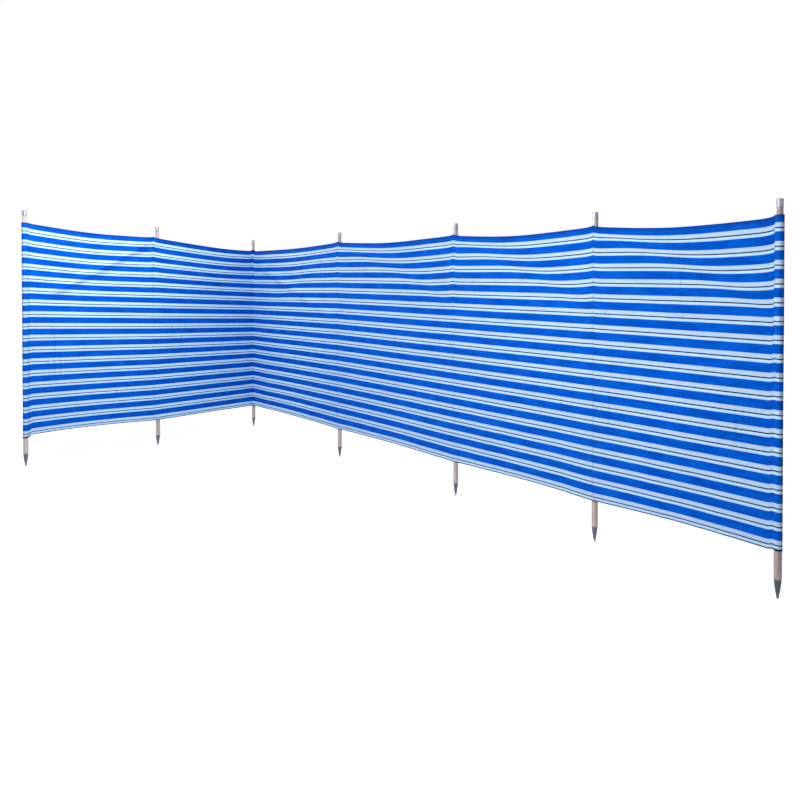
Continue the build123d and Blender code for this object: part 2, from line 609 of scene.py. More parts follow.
    def creases(self, nodes: Nodes, place: Socket) -> Socket:
        """Thin upright creases left by rolling the cloth up, in patches.

        Args:
            nodes: The material's nodes.
            place: The cloth's own map.

        Returns:
            A mask.
        """
        bent = nodes.streaks(place, self.crease_bends, detail=1.0)
        from_crease = nodes.maths("ABSOLUTE", nodes.maths("SUBTRACT", bent, 0.5))
        patch = nodes.remap(nodes.streaks(place, self.crease_patches, detail=1.0), 0.47, 0.58)
        return nodes.times(nodes.remap(from_crease, *self.crease_edge, FADING), patch)

    @staticmethod
    def within(nodes: Nodes, value: Socket, length: float) -> Socket:
        """How far a value is into the latest of equal lengths."""
        return nodes.times(nodes.maths("FRACT", nodes.maths("DIVIDE", value, length)), length)

    def rise(self, nodes: Nodes, value: Socket, start: float) -> Socket:
        """Mask that rises where a value passes a start, over the width of a yarn."""
        return nodes.remap(value, start - self.edge, start + self.edge)

    def over(self, nodes: Nodes, value: Socket, start: float, before: object, after: object) -> Socket:
        """Colour that changes where a value passes a start."""
        return nodes.blend(self.rise(nodes, value, start), before, after)

    def band(self, nodes: Nodes, value: Socket, start: float, end: float) -> Socket:
        """Mask of a band from a start to an end."""
        return nodes.maths("SUBTRACT", self.rise(nodes, value, start), self.rise(nodes, value, end))


@dataclass(frozen=True)
class ThreadFinish:
    """Twisted polyester sewing thread."""

    name: str
    colour: Colour
    shaded: Colour
    twist: float = 0.0004
    bump: Pair = (0.0001, 0.6)
    roughness: float = 0.55

    def build(self, effects: Effects) -> Material:
        """Make the thread's material.

        Args:
            effects: The shared node groups.

        Returns:
            The material.
        """
        material, nodes, shader = new_material(self.name)
        yarns = nodes.group(effects.yarns, Place=nodes.here(), Pitch=self.twist)
        inputs = {
            "Base Color": nodes.blend(nodes.remap(yarns["Shade"], 0.3, 0.7), self.colour, self.shaded),
            "Roughness": self.roughness,
            "Normal": nodes.bump(yarns["Height"], *self.bump),
        }
        nodes.fill(shader, inputs)
        return material


class PostFinish:
    """What the three finishes of a post share: a pattern centred on its own axis.

    In each, aged or tarnished gives the share of wear of every post, and a bump is a distance
    and a strength.
    """

    @staticmethod
    def start(kind: str, post: Post) -> tuple[Material, Nodes, bpy.types.Node, Socket]:
        """Start the material of one piece of a post.

        Args:
            kind: What the material is.
            post: The post.

        Returns:
            The material, its nodes, its shader, and places measured from the tip of the post's spike.
        """
        material, nodes, shader = new_material(f"{kind}_{post.number}")
        return material, nodes, shader, nodes.moved(nodes.here(), -post.foot)


@dataclass(frozen=True)
class WoodFinish(PostFinish):
    """Planed pole of pale pinkish softwood, slightly grey from handling, and some poles older."""

    light: Colour = srgb(214, 200, 195)
    dark: Colour = srgb(182, 160, 154)
    knot: Colour = srgb(124, 92, 82)
    handled: Colour = srgb(150, 138, 138)
    under_cap_shade: Colour = srgb(132, 96, 96)
    old: Colour = srgb(138, 115, 110)
    aged: tuple[float, ...] = (0.0, 0.1, 0.2, 0.1, 0.0, 0.1, 0.55)
    fibre_share: float = 0.35
    knot_share: float = 0.55
    handled_share: float = 0.22
    under_cap_shade_share: float = 0.75
    under_cap_band: Pair = (1.591, 1.598)
    spacing: float = 2.3
    bump: Pair = (0.0003, 0.5)
    roughness: Pair = (0.55, 0.72)
    gloss: float = 0.35

    def build(self, effects: Effects, post: Post) -> Material:
        """Make the wood of one pole.

        Args:
            effects: The shared node groups.
            post: The post that the pole belongs to.

        Returns:
            The material.
        """
        material, nodes, shader, place = self.start("pole_wood", post)
        _, _, height = nodes.parts(place)
        own = nodes.vector("ADD", place, (0.0, 0.0, self.spacing * post.number)).outputs[0]
        grain = nodes.group(effects.fibres, Place=own)
        grime = nodes.group(effects.grime, Place=own, Size=28.0, Cover=0.48)[0]
        patch = nodes.remap(nodes.noise(place, 70.0, detail=1.0), 0.42, 0.6)
        colour = nodes.blend(nodes.remap(grain["Figure"], 0.34, 0.66), self.light, self.dark)
        colour = nodes.blend(nodes.remap(grain["Fibres"], 0.35, 0.75, (0.0, self.fibre_share)), colour, self.dark)
        colour = nodes.mark(colour, grain["Knots"], self.knot_share, self.knot)
        colour = nodes.mark(colour, grime, self.handled_share, self.handled)
        colour = nodes.blend(self.aged[post.number - 1], colour, self.old)
        # painted shade: patches darkened in a narrow band just under the cap's lower edge
        rim = nodes.times(nodes.remap(height, *self.under_cap_band), patch)
        inputs = {
            "Base Color": nodes.mark(colour, rim, self.under_cap_shade_share, self.under_cap_shade),
            "Roughness": nodes.remap(grain["Fibres"], 0.3, 0.7, self.roughness),
            "Specular IOR Level": self.gloss,
            "Normal": nodes.bump(grain["Fibres"], *self.bump),
        }
        nodes.fill(shader, inputs)
        return material


@dataclass(frozen=True)
class CapFinish(PostFinish):
    """Pressed cap of dull plated steel."""

    colour: Colour = srgb(148, 152, 164)
    rubbed: Colour = srgb(120, 123, 134)
    grime: Colour = srgb(120, 120, 128)
    rubbed_share: float = 0.6
    grime_share: float = 0.3
    ring_bump: Pair = (0.00008, 0.4)
    dent_bump: Pair = (0.0008, 0.35)
    roughness: Pair = (0.30, 0.46)
    metal: float = 0.6

    def build(self, effects: Effects, post: Post) -> Material:
        """Make the metal of one cap.

        Args:
            effects: The shared node groups.
            post: The post that the cap belongs to.

        Returns:
            The material.
        """
        material, nodes, shader, place = self.start("cap_steel", post)
        wear = nodes.group(effects.scratches, Place=place)
        grime = nodes.group(effects.grime, Place=place, Size=60.0, Cover=0.45)[0]
        colour = nodes.mark(self.colour, wear["Rub"], self.rubbed_share, self.rubbed)
        normal = nodes.bump(wear["Dents"], *self.dent_bump)
        inputs = {
            "Base Color": nodes.mark(colour, grime, self.grime_share, self.grime),
            "Metallic": self.metal,
            "Roughness": nodes.remap(wear["Rings"], 0.3, 0.7, self.roughness),
            "Normal": nodes.bump(wear["Rings"], *self.ring_bump, normal),
        }
        nodes.fill(shader, inputs)
        return material


@dataclass(frozen=True)
class SpikeFinish(PostFinish):
    """Rolled steel spike, dark with oil scale and worn bright at its tip and rim."""

    colour: Colour = srgb(106, 110, 122)
    scale: Colour = srgb(84, 87, 98)
    bright: Colour = srgb(136, 139, 148)
    tarnish: Colour = srgb(50, 53, 62)
    gap: Colour = srgb(28, 28, 32)
    tarnished: tuple[float, ...] = (0.0, 0.0, 0.0, 0.0, 0.0, 0.0, 0.55)
    tip: Pair = (0.002, 0.034)
    rim: Pair = (0.0788, 0.0798)
    tip_share: float = 0.85
    tip_uneven: float = 0.012
    rim_share: float = 0.8
    joint_turn: float = 0.9
    joint_edge: Pair = (0.02, 0.07)
    joint_share: float = 0.85
    joint_depth: float = 3.0
    ring_bump: Pair = (0.0002, 0.5)
    dent_bump: Pair = (0.0008, 0.4)
    roughness: Pair = (0.52, 0.36)
    metal: float = 0.7

    def build(self, effects: Effects, post: Post) -> Material:
        """Make the metal of one spike.

        Args:
            effects: The shared node groups.
            post: The post that the spike belongs to.

        Returns:
            The material.
        """
        material, nodes, shader, place = self.start("spike_steel", post)
        across, deep, height = nodes.parts(place)
        wear = nodes.group(effects.scratches, Place=place)
        colour = nodes.blend(nodes.remap(wear["Dents"], 0.38, 0.62), self.colour, self.scale)
        worn = nodes.maths("ADD", height, nodes.times(wear["Rub"], self.tip_uneven))
        colour = nodes.blend(nodes.remap(worn, *self.tip, (self.tip_share, 0.0)), colour, self.bright)
        colour = nodes.blend(nodes.remap(height, *self.rim, (0.0, self.rim_share)), colour, self.bright)
        colour = nodes.blend(self.tarnished[post.number - 1], colour, self.tarnish)
        turn = nodes.maths("SUBTRACT", nodes.maths("ARCTAN2", deep, across), self.joint_turn)
        joint = nodes.remap(nodes.maths("ABSOLUTE", turn), *self.joint_edge, FADING)
        sunk = nodes.maths("SUBTRACT", wear["Rings"], nodes.times(joint, self.joint_depth))
        normal = nodes.bump(wear["Dents"], *self.dent_bump)
        inputs = {
            "Base Color": nodes.mark(colour, joint, self.joint_share, self.gap),
            "Metallic": self.metal,
            "Roughness": nodes.remap(wear["Rub"], 0.0, 1.0, self.roughness),
            "Normal": nodes.bump(sunk, *self.ring_bump, normal),
        }
        nodes.fill(shader, inputs)
        return material


class Sewn(Enum):
    """Rows of stitches that are sewn in one colour of thread."""

    TOP_HEM = "hem_stitches"
    SEAMS = "stitches"


@dataclass(frozen=True)
class StitchWork:
    """Straight machine stitching: short bars of thread in a row."""

    pitch: float = 0.0042
    length: float = 0.0031
    thickness: float = 0.0006
    uneven: float = 0.12
    seed: int = 7

    def build_tree(self) -> bpy.types.NodeTree:
        """Make the tree that lays one bar of thread at each step of every seam line.

        Returns:
            The tree.
        """
        tree = bpy.data.node_groups.new("stitch_row", "GeometryNodeTree")
        numbers = dict.fromkeys(("Pitch", "Length", "Thickness", "Uneven"), "Float")
        for title, kind in {"Seams": "Geometry", **numbers, "Seed": "Int", "Thread": "Material"}.items():
            tree.interface.new_socket(title, in_out="INPUT", socket_type=f"NodeSocket{kind}")
        tree.interface.new_socket("Stitches", in_out="OUTPUT", socket_type="NodeSocketGeometry")
        nodes = Nodes(tree)
        takes = nodes.add("NodeGroupInput").outputs
        curves = nodes.add("GeometryNodeMeshToCurve", {"Mesh": takes["Seams"]}).outputs[0]
        points = nodes.add("GeometryNodeCurveToPoints", {"Curve": curves, "Length": takes["Pitch"]}, mode="LENGTH")
        ball = nodes.add("GeometryNodeMeshIcoSphere", {"Radius": 0.5, "Subdivisions": 1}).outputs["Mesh"]
        sizes = (takes["Thickness"], takes["Thickness"], takes["Length"])
        size = nodes.add("ShaderNodeCombineXYZ", dict(enumerate(sizes))).outputs[0]
        chance = nodes.add("FunctionNodeRandomValue", data_type="FLOAT")
        low, high = (nodes.maths(kind, 1.0, takes["Uneven"]) for kind in ("SUBTRACT", "ADD"))
        for title, value in (("Min_001", low), ("Max_001", high), ("Seed", takes["Seed"])):
            nodes.feed(next(s for s in chance.inputs if s.identifier == title), value)
        laid = {
            "Points": points.outputs["Points"],
            "Instance": nodes.add("GeometryNodeTransform", {"Geometry": ball, "Scale": size}).outputs[0],
            "Rotation": points.outputs["Rotation"],
            "Scale": next(s for s in chance.outputs if s.identifier == "Value_001"),
        }
        bars = nodes.add("GeometryNodeInstanceOnPoints", laid).outputs[0]
        solid = nodes.add("GeometryNodeRealizeInstances", {0: bars}).outputs[0]
        dressed = nodes.add("GeometryNodeSetMaterial", {"Geometry": solid, "Material": takes["Thread"]}).outputs[0]
        nodes.add("NodeGroupOutput", {"Stitches": dressed})
        return tree

    def sew(
        self, name: str, tree: bpy.types.NodeTree, lines: list[Grid], thread: Material
    ) -> Piece:
        """Sew along lines and leave the stitches as a plain mesh.

        Args:
            name: Name of the new piece.
            tree: The tree from build_tree.
            lines: Each seam line as rows of points.
            thread: Material of the thread.

        Returns:
            The stitches of all the lines, as one object.
        """
        mesh = bpy.data.meshes.new(name + "_lines")
        starts = np.cumsum([0] + [len(line) for line in lines[:-1]])
        edges = [(s + i, s + i + 1) for s, line in zip(starts, lines) for i in range(len(line) - 1)]
        mesh.from_pydata(np.concatenate(lines).tolist(), edges, [])
        guide = show(name + "_guide", mesh)
        modifier = guide.modifiers.new("stitches", "NODES")
        modifier.node_group = tree
        values = {"Length": self.length, "Thickness": self.thickness, "Uneven": self.uneven}
        values |= {"Pitch": self.pitch, "Seed": self.seed, "Thread": thread}
        for item in tree.interface.items_tree:
            if item.name in values:
                modifier[item.identifier] = values[item.name]
        solid = bpy.data.meshes.new_from_object(guide.evaluated_get(bpy.context.evaluated_depsgraph_get()))
        bpy.data.objects.remove(guide)
        bpy.data.meshes.remove(mesh)
        solid.name = name
        return show(name, solid)


@dataclass(frozen=True)
class Fabric:
    """Thickness of the cloth and of its folded hems."""

    ply: float = 0.0009
    hem_plies: float = 2.0
    hem_end: Pair = (0.0116, 0.0130)
    rim_share: float = 0.55
    rim_round: float = 0.0018
    stitch_line: float = 0.009
    rows: float = 0.0098
    fine: tuple[float, ...] = (0.0, 0.0005, 0.0014, 0.0032, 0.006, 0.009, 0.0112, 0.0122, 0.0132, 0.016, 0.022)

    def depths(self, height: float) -> Grid:
        """Rows down a piece of cloth, closer at its hems."""
        return graded(height, self.rows, self.fine)

    def faces(self, from_edge: Grid) -> tuple[Grid, Grid]:
        """How the cloth's thickness grows at its folded hems and is rounded at their rims.

        Args:
            from_edge: Distance from the nearer hem's edge.

        Returns:
            How far the good side and the back stand from the cloth's middle.
        """
        tuck = self.rim_share + (1 - self.rim_share) * step(from_edge, 0.0, self.rim_round)
        folded = 1 - step(from_edge, *self.hem_end)
        good = self.ply / 2 * tuck
        back = (self.ply / 2 + self.ply * (self.hem_plies - 1) * folded) * tuck
        return good, back


def cloth_mesh(name: str, good: Grid, back: Grid, places: Grid) -> Piece:
    """Join two grids of points into one closed sheet.

    Args:
        name: Name of the piece.
        good: Points of the good side, as rows down and columns from left to right as seen
            from that side.
        back: Points of the back, in the same order.
        places: The cloth's own map at each point: along it, and down from its top.

    Returns:
        The sheet as an object with a map named as CLOTH_UV says.
    """
    rows, columns = good.shape[:2]
    index = np.arange(rows * columns).reshape(rows, columns)
    quads = [index[:-1, :-1], index[1:, :-1], index[1:, 1:], index[:-1, 1:]]
    front = np.stack(quads, -1).reshape(-1, 4)
    behind = front[:, ::-1] + rows * columns
    rim = np.concatenate([index[0, ::-1], index[1:, 0], index[-1, 1:], index[-2:0:-1, -1]])
    after = np.roll(rim, -1)
    edge = np.stack([after, rim, rim + rows * columns, after + rows * columns], -1)
    faces = np.concatenate([front, behind, edge])
    mesh = bpy.data.meshes.new(name)
    mesh.from_pydata(np.concatenate([good.reshape(-1, 3), back.reshape(-1, 3)]).tolist(), [], faces.tolist())
    corners = np.empty(len(mesh.loops), np.int32)
    mesh.loops.foreach_get("vertex_index", corners)
    layer = mesh.uv_layers.new(name=CLOTH_UV)
    layer.uv.foreach_set("vector", places.reshape(-1, 2)[corners % (rows * columns)].astype(np.float32).ravel())
    smooth(mesh, CLOTH_CREASE)
    return show(name, mesh)


@dataclass(frozen=True)
class Wave:
    """Soft unevenness: its height, how far apart its hills are along and down, and its own seed."""

    height: float
    along: float
    down: float
    seed: int
    start: float = 0.0

    def at(self, along: Grid, down: Grid, seed: int) -> Grid:
        """Height of the wave at each place of a cloth with a seed."""
        return self.height * soft_noise(along / self.along + self.start, down / self.down, seed + self.seed)


@dataclass(frozen=True)
class Slack:
    """Slack beside one post: the drop there, the slope away from it, and how far that starts aside by depth."""

    drop: float
    slope: float
    run: float = 0.0


@dataclass(frozen=True)
class Hang:
    """How the slack top of one bay hangs, and the soft fold that runs down from one of its posts.

    The slack is gone below the depths in fade. The fold runs aside by fold_run for each metre
    down, leftwards where that is below nought. arch is how far the middle of the hem is drawn
    up, and creases are places across the bay, below nought where the crease points away.
    """

    left: Slack
    right: Slack
    fade: Pair
    fold_run: float
    fold: float
    arch: float
    creases: tuple[float, ...]
    seed: int
    fold_start: float = 0.03
    edge_hold: float = 0.08
    peak: float = 0.75
    flat_top: float = 0.03
    near: float = 0.02
    bend: float = 0.004
    bend_growth: float = 0.25
    bend_stop: float = 0.15
    late_fade: float = 0.18

    def slack(self, across: Grid, depth: Grid, width: float) -> Grid:
        """How far each place of a bay hangs below where taut cloth would be.

        Args:
            across: Distance from the left seam.
            depth: Distance down from the top edge.
            width: Width of the bay.

        Returns:
            Drops in metres.
        """
        below = np.maximum(depth - self.flat_top, 0)
        gone = 1 - step(depth, *self.fade)
        drops = []
        for side, away in ((self.left, across), (self.right, width - across)):
            aside = side.run * below
            bend = self.bend + self.bend_growth * np.minimum(aside, self.bend_stop)
            at_post = side.drop * gone * (1 - self.peak * np.exp(-away / self.near))
            drops.append(at_post + side.slope * ramp(away - aside, bend))
        late = 1 - step(depth, self.fade[1], self.fade[1] + self.late_fade)
        kept = gone if self.left.run == self.right.run else late
        return lesser(*drops) * kept * (1 - self.edge_hold * np.exp(-depth / self.near))

    def front(self, across: Grid, width: float) -> Grid:
        """Depth of the soft fold that runs down from the top of one post."""
        away = across if self.fold_run > 0 else width - across
        return self.fold_start + away / abs(self.fold_run)


class SewnCloth:
    """What a bay and a sleeve share: a size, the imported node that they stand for, and their posts."""

    width: float
    height: float
    node: str
    posts: tuple[Post, ...]

    def dress(self, piece: Piece, stitches: list[Piece], cloth: Material) -> None:
        """Give the cloth its material, hang it and its stitches on the root body, and hide the imported node that
        it stands for.

        Args:
            piece: The sheet.
            stitches: Its rows of stitches.
            cloth: Material of the cloth.
        """
        piece.data.materials.append(cloth)
        for part in (piece, *stitches):
            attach(part, "root")
        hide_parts(self.node)


@dataclass
class Bay(SewnCloth):
    """Cloth between two posts, from seam to seam, with its hems and stitching.

    lifts say how far taut cloth is drawn up at either post, and hem_lifts how much further
    its hem is. Pairs called held, fades or starts give distances between which a shape grows
    or fades.
    """

    left: Post
    right: Post
    lifts: Pair
    hem_lifts: Pair
    hang: Hang
    fabric: Fabric
    column: float = 0.0105
    fine: tuple[float, ...] = (0.0, 0.0006, 0.0016, 0.0035, 0.006, 0.009, 0.0125, 0.0165, 0.021, 0.026, 0.032, 0.04)
    stitch_inset: float = 0.0035
    stitch_width: float = 0.0026
    top_rise: float = 0.35
    crown: float = 0.005
    crown_reach: float = 0.018
    crown_depth: float = 0.4
    end_bend: float = 0.0015
    end_spread: float = 0.022
    end_starts: Pair = (0.2, 0.9)
    billow: Wave = Wave(0.009, 0.55, 0.62, 0, 3.1)
    broad: Wave = Wave(0.0028, 0.17, 0.26, 1)
    small: Wave = Wave(0.0009, 0.055, 0.075, 2)
    small_share: float = 0.4
    drawn: Wave = Wave(0.0035, 0.6, 0.07, 3)
    wander: Wave = Wave(0.8, 0.11, 1.0, 4)
    ripple: Wave = Wave(0.0007, 0.024, 1.0, 5)
    slanting: Wave = Wave(0.0034, 0.28, 0.045, 6, 9.0)
    slant: Pair = (0.5, 0.86)
    held_left: Pair = (0.03, 0.22)
    held_right: Pair = (0.01, 0.2)
    fold_held: Pair = (0.06, 0.16)
    fold_right: float = 0.1
    fold_width: float = 0.034
    fold_fades: Pair = (0.42, 0.64)
    drawn_end: float = 0.5
    slanting_starts: Pair = (0.75, 1.15)
    crease: float = 0.0013
    crease_width: float = 0.004
    pucker: float = 0.0006
    pucker_pitch: float = 0.034
    pucker_reach: float = 0.022
    pucker_start: float = 0.006
    ripple_reach: float = 0.02
    seam_dip: float = 0.001
    pocket_dip: float = 0.0007
    dip_width: float = 0.0022
    ridge: float = 0.0016
    ridge_width: float = 0.012
    valley_width: float = 0.014

    def __post_init__(self) -> None:
        """Set the bay out between its posts."""
        self.number, self.posts = self.left.number, (self.left, self.right)
        self.node = f"cloth_bay_{self.number}"
        self.start, end = self.left.seam_place, self.right.seam_place
        run = end - self.start
        self.width, self.along = run.length, run.normalized()
        self.inward = Layout.inward(self.start, end)
        self.height = self.left.head - self.left.hem

    def sides(self, across: Grid) -> tuple[tuple[Post, Grid], ...]:
        """Both posts, each with the distance of every place from its seam."""
        return (self.left, across), (self.right, self.width - across)

    def rise(self, across: Grid, depth: Grid) -> Grid:
        """How far each place of the cloth is above a straight, even hanging.

        Args:
            across: Distance from the left seam.
            depth: Distance down from the top edge.

        Returns:
            Rises in metres.
        """
        share, ends = across / self.width, (0, self.width)
        taut = np.interp(across, ends, self.lifts) * (1 - np.exp(-depth / self.top_rise))
        drawn = np.interp(across, ends, self.hem_lifts) + self.hang.arch * 4 * share * (1 - share)
        hem = drawn * np.exp(-np.maximum(self.height - depth, 0) / HEM_REACH)
        risen = taut + hem - self.hang.slack(across, depth, self.width)
        for post, away in self.sides(across):
            if post.seam is Seam.MIDDLE_RIGHT:
                risen = risen + self.crown * np.exp(-away / self.crown_reach - depth / self.crown_depth)
            if post.seam in (Seam.LEFT_END, Seam.RIGHT_END):
                bend = self.end_bend + self.end_spread * step(depth, *self.end_starts)
                risen = risen + (post.loop_rise(depth) - risen) * (1 - step(away / bend, 0.0, 1.0))
        return risen

    def relief(self, across: Grid, depth: Grid) -> Grid:
        """How far each place of the cloth stands inward from the straight line between its seams.

        Args:
            across: Distance from the left seam.
            depth: Distance down from the top edge.

        Returns:
            Distances in metres.
        """
        seed, from_right = self.hang.seed, self.width - across
        nearer = np.minimum(across, from_right)
        free = step(across, *self.held_left) * step(from_right, *self.held_right)
        folded = step(across, *self.fold_held) * step(from_right, 0.0, self.fold_right)
        folded = folded * (1 - step(depth, *self.fold_fades))
        fold = self.hang.fold * hill(depth - self.hang.front(across, self.width), 0.0, self.fold_width)
        drawn = self.drawn.at(across, depth - across / self.hang.fold_run, seed)
        along, up = self.slant
        low = self.slanting.at(along * across + up * depth, up * across - along * depth, seed)
        wander = self.wander.at(depth, across * 0 + 0.5, seed)
        turns = 2 * math.pi * (depth / self.pucker_pitch + wander)
        near = np.exp(-across / self.pucker_reach) + np.exp(-from_right / self.pucker_reach)
        from_hem = np.minimum(depth, self.height - depth)
        parts = [
            self.billow.at(across, depth, seed) * free,
            self.broad.at(across, depth, seed) * free,
            self.small.at(across, depth, seed) * (self.small_share + (1 - self.small_share) * free),
            drawn * step(self.drawn_end - depth, 0.0, self.drawn_end) * free,
            fold * folded,
            low * free * step(depth, *self.slanting_starts),
            self.pucker * np.sin(turns) * near * step(nearer, 0.0, self.pucker_start),
            self.ripple.at(across, depth * 0 + 0.5, seed) * np.exp(-from_hem / self.ripple_reach),
            self.over_post(across),
        ]
        for place in self.hang.creases:
            parts.append(math.copysign(self.crease, place) * hill(across, abs(place), self.crease_width))
        return sum(parts)

    def over_post(self, across: Grid) -> Grid:
        """Low ridge where the cloth passes over its left pole, and the dip of each line of stitches.

        Args:
            across: Distance from the left seam.

        Returns:
            Distances inward in metres.
        """
        shape = self.seam_dip
        for post, away in self.sides(across):
            shape = shape - self.seam_dip * hill(away, 0.0, self.dip_width)
            if post.seam.pocket:
                shape = shape - self.ridge * hill(away, 0.0, self.valley_width)
        if self.left.seam.pocket:
            shape = shape + self.ridge * hill(across, -self.left.seam.left[0], self.ridge_width)
            shape = shape - self.pocket_dip * hill(across, self.left.seam.pocket, self.dip_width)
        return shape

    def build(self) -> Piece:
        """Make the sheet of cloth, with its folded hems and rims.

        Returns:
            The sheet.
        """
        columns, rows = graded(self.width, self.column, self.fine), self.fabric.depths(self.height)
        if self.left.seam.pocket:
            beside = np.array((-self.stitch_width, 0.0, self.stitch_width))
            columns = np.union1d(columns, self.left.seam.pocket + beside)
        across, depth = np.meshgrid(columns, rows)
        relief = self.relief(across, depth)
        good, back = self.fabric.faces(np.minimum(depth, self.height - depth))
        head = np.interp(across, (0, self.width), (self.left.head, self.right.head))
        base = np.array(self.start)[None, None] + across[..., None] * np.array(self.along)
        base[..., 2] = head - depth + self.rise(across, depth)
        inward = np.array(self.inward)
        self.good = base + (relief + good)[..., None] * inward
        self.back = base + (relief - back)[..., None] * inward
        self.columns, self.rows = columns, rows
        places = np.stack([across + self.number * BAY_SPACING, depth], -1)
        return cloth_mesh(f"bay_cloth_{self.number}", self.good, self.back, places)

    def seam_lines(self) -> dict[Sewn, list[Grid]]:
        """Lines of the stitching: both hems on both sides, and the upright seams.

        Returns:
            Lines of points for each thread.
        """
        line, inset = nearest(self.rows, self.fabric.stitch_line), nearest(self.columns, self.stitch_inset)
        faces = (self.good, self.back)
        upright = [self.good[1:-1, inset]]
        if self.left.seam.pocket:
            upright.append(self.good[1:-1, nearest(self.columns, self.left.seam.pocket)])
        if self.left.seam is Seam.LEFT_END:
            upright.append(self.back[1:-1, inset])
        if self.right.seam is Seam.RIGHT_END:
            upright += [face[1:-1, -1 - inset] for face in faces]
        return {
            Sewn.TOP_HEM: [face[line, 1:-1] for face in faces],
            Sewn.SEAMS: [face[-1 - line, 1:-1] for face in faces] + upright,
        }


@dataclass
class Sleeve(SewnCloth):
    """Cloth round one pole: a pocket sewn behind the bays, or a closed loop at the corner and both ends.

    before and after are the bays at its left and right, where there are any.
    """

    post: Post
    before: Bay | None
    after: Bay | None
    fabric: Fabric
    arc_steps: int = 22
    runs: tuple[float, ...] = (0.0, 0.08, 0.25, 0.5, 0.75)
    middle_radius: float = 0.0162
    end_radius: float = 0.0164
    lip: float = 0.00046
    under: float = 0.0010
    corner_dip: float = 0.007
    corner_depth: float = 0.06
    swells: tuple[Wave, ...] = (Wave(0.0004, 0.02, 0.09, 0), Wave(0.0003, 0.011, 0.3, 9))
    pucker: float = 0.0004
    pucker_pitch: float = 0.031
    flare: float = 0.0007
    flare_share: float = 0.6
    flaring: Wave = Wave(1.0, 0.03, 1.0, 4)
    reach: float = 0.012
    first_seed: int = 40

    def __post_init__(self) -> None:
        """Set out the sleeve round its post."""
        self.height = self.post.head - self.post.hem
        self.node, self.posts = f"sleeve_{self.post.number}", (self.post,)
        self.at_end = self.before is None or self.after is None
        self.radius = self.end_radius if self.at_end else self.middle_radius

    def outline(self) -> tuple[Grid, Grid]:
        """Middle line from the right stitches round the back to the left ones, clockwise with inward up.

        Returns:
            Places from the pole's axis, sideways and inward, and the outward directions.
        """
        seam = self.post.seam
        tuck = np.array((0.0, self.under)) if seam.pocket else np.array((-self.lip, 0.0))
        first, last = np.array(seam.right) - tuck, np.array(seam.left) - tuck * (1 if seam.pocket else -1)
        start, _ = self.touch(first)
        _, end = self.touch(last)
        turns = np.linspace(start, end - 2 * math.pi, self.arc_steps + 1)
        arc = self.radius * np.stack([np.cos(turns), np.sin(turns)], -1)
        shares = np.array(self.runs)[:, None]
        points = np.concatenate([first + (arc[0] - first) * shares, arc, (last + (arc[-1] - last) * shares)[::-1]])
        steps = np.gradient(points, axis=0)
        outward = np.stack([-steps[:, 1], steps[:, 0]], -1)
        return points, outward / np.linalg.norm(outward, axis=1)[:, None]

    def touch(self, place: Grid) -> Pair:
        """Where the two straight runs from a place meet the round of the pole.

        Args:
            place: A place from the pole's axis, sideways and inward.

        Returns:
            Bearings of the right and of the left one.
        """
        bearing = math.atan2(place[1], place[0])
        spread = math.acos(min(self.radius / float(np.hypot(*place)), 1.0))
        return bearing - spread, bearing + spread

    def rises(self, depth: Grid, share: Grid) -> Grid:
        """How far each place is above a straight, even hanging.

        Args:
            depth: Distance down from the top edge.
            share: Share of the way round, from the right stitches to the left ones.

        Returns:
            Rises in metres.
        """
        if self.at_end:
            return self.post.loop_rise(depth)
        left = self.before.rise(np.full_like(depth, self.before.width), depth)
        right = self.after.rise(np.full_like(depth, self.post.seam.pocket), depth)
        rise = right + (left - right) * share
        if self.post.seam is Seam.CORNER:
            rise = rise - self.corner_dip * self.loose(share) * np.exp(-depth / self.corner_depth)
        return rise

    @staticmethod
    def loose(share: Grid) -> Grid:
        """How freely the cloth can move, by its share of the way round: 0 at the stitches."""
        return np.sin(math.pi * share) ** 0.5

    def relief(self, around: Grid, depth: Grid, from_hem: Grid) -> Grid:
        """How far each place of the cloth stands out from its middle line.

        Args:
            around: Distance from the right stitches.
            depth: Distance down from the top of the bays.
            from_hem: Distance from the nearer hem's edge.

        Returns:
            Distances in metres.
        """
        seed, share = self.first_seed + self.post.number, around / self.width
        swell = sum(wave.at(around, depth, seed) for wave in self.swells)
        near = np.exp(-np.minimum(share, 1 - share) * self.width / self.reach)
        pucker = self.pucker * np.sin(2 * math.pi * depth / self.pucker_pitch + seed) * near
        uneven = self.flare_share + self.flaring.at(around, depth * 0, seed)
        flare = self.flare * np.exp(-from_hem / self.reach) * uneven
        return (swell + flare + pucker) * self.loose(share)

    def build(self) -> Piece:
        """Make the loop of cloth, with its folded hems and rims.

        Returns:
            The loop.
        """
        points, outward = self.outline()
        length = np.concatenate([[0], np.cumsum(np.linalg.norm(np.diff(points, axis=0), axis=1))])
        self.width = float(length[-1])
        self.rows = self.fabric.depths(self.height)
        around, nominal = np.meshgrid(length, self.rows)
        depth = nominal + LOOP_LIFT if self.at_end else nominal
        from_hem = np.minimum(nominal, self.height - nominal)
        relief = self.relief(around, depth, from_hem)
        good, back = self.fabric.faces(from_hem)
        post = self.post
        axes = np.stack([np.array(post.along), np.array(post.inward)])
        base = (points @ axes)[None] + np.array((post.foot.x, post.foot.y, 0.0))
        base = np.repeat(base, len(self.rows), 0)
        base[..., 2] = post.head - depth + self.rises(depth, around / self.width)
        square = (outward @ axes)[None]
        self.good = base + (relief + good)[..., None] * square
        behind = base + (relief - back)[..., None] * square
        places = np.stack([around + SLEEVE_START + SLEEVE_SPACING * post.number, depth], -1)
        return cloth_mesh(f"sleeve_cloth_{post.number}", self.good, behind, places)

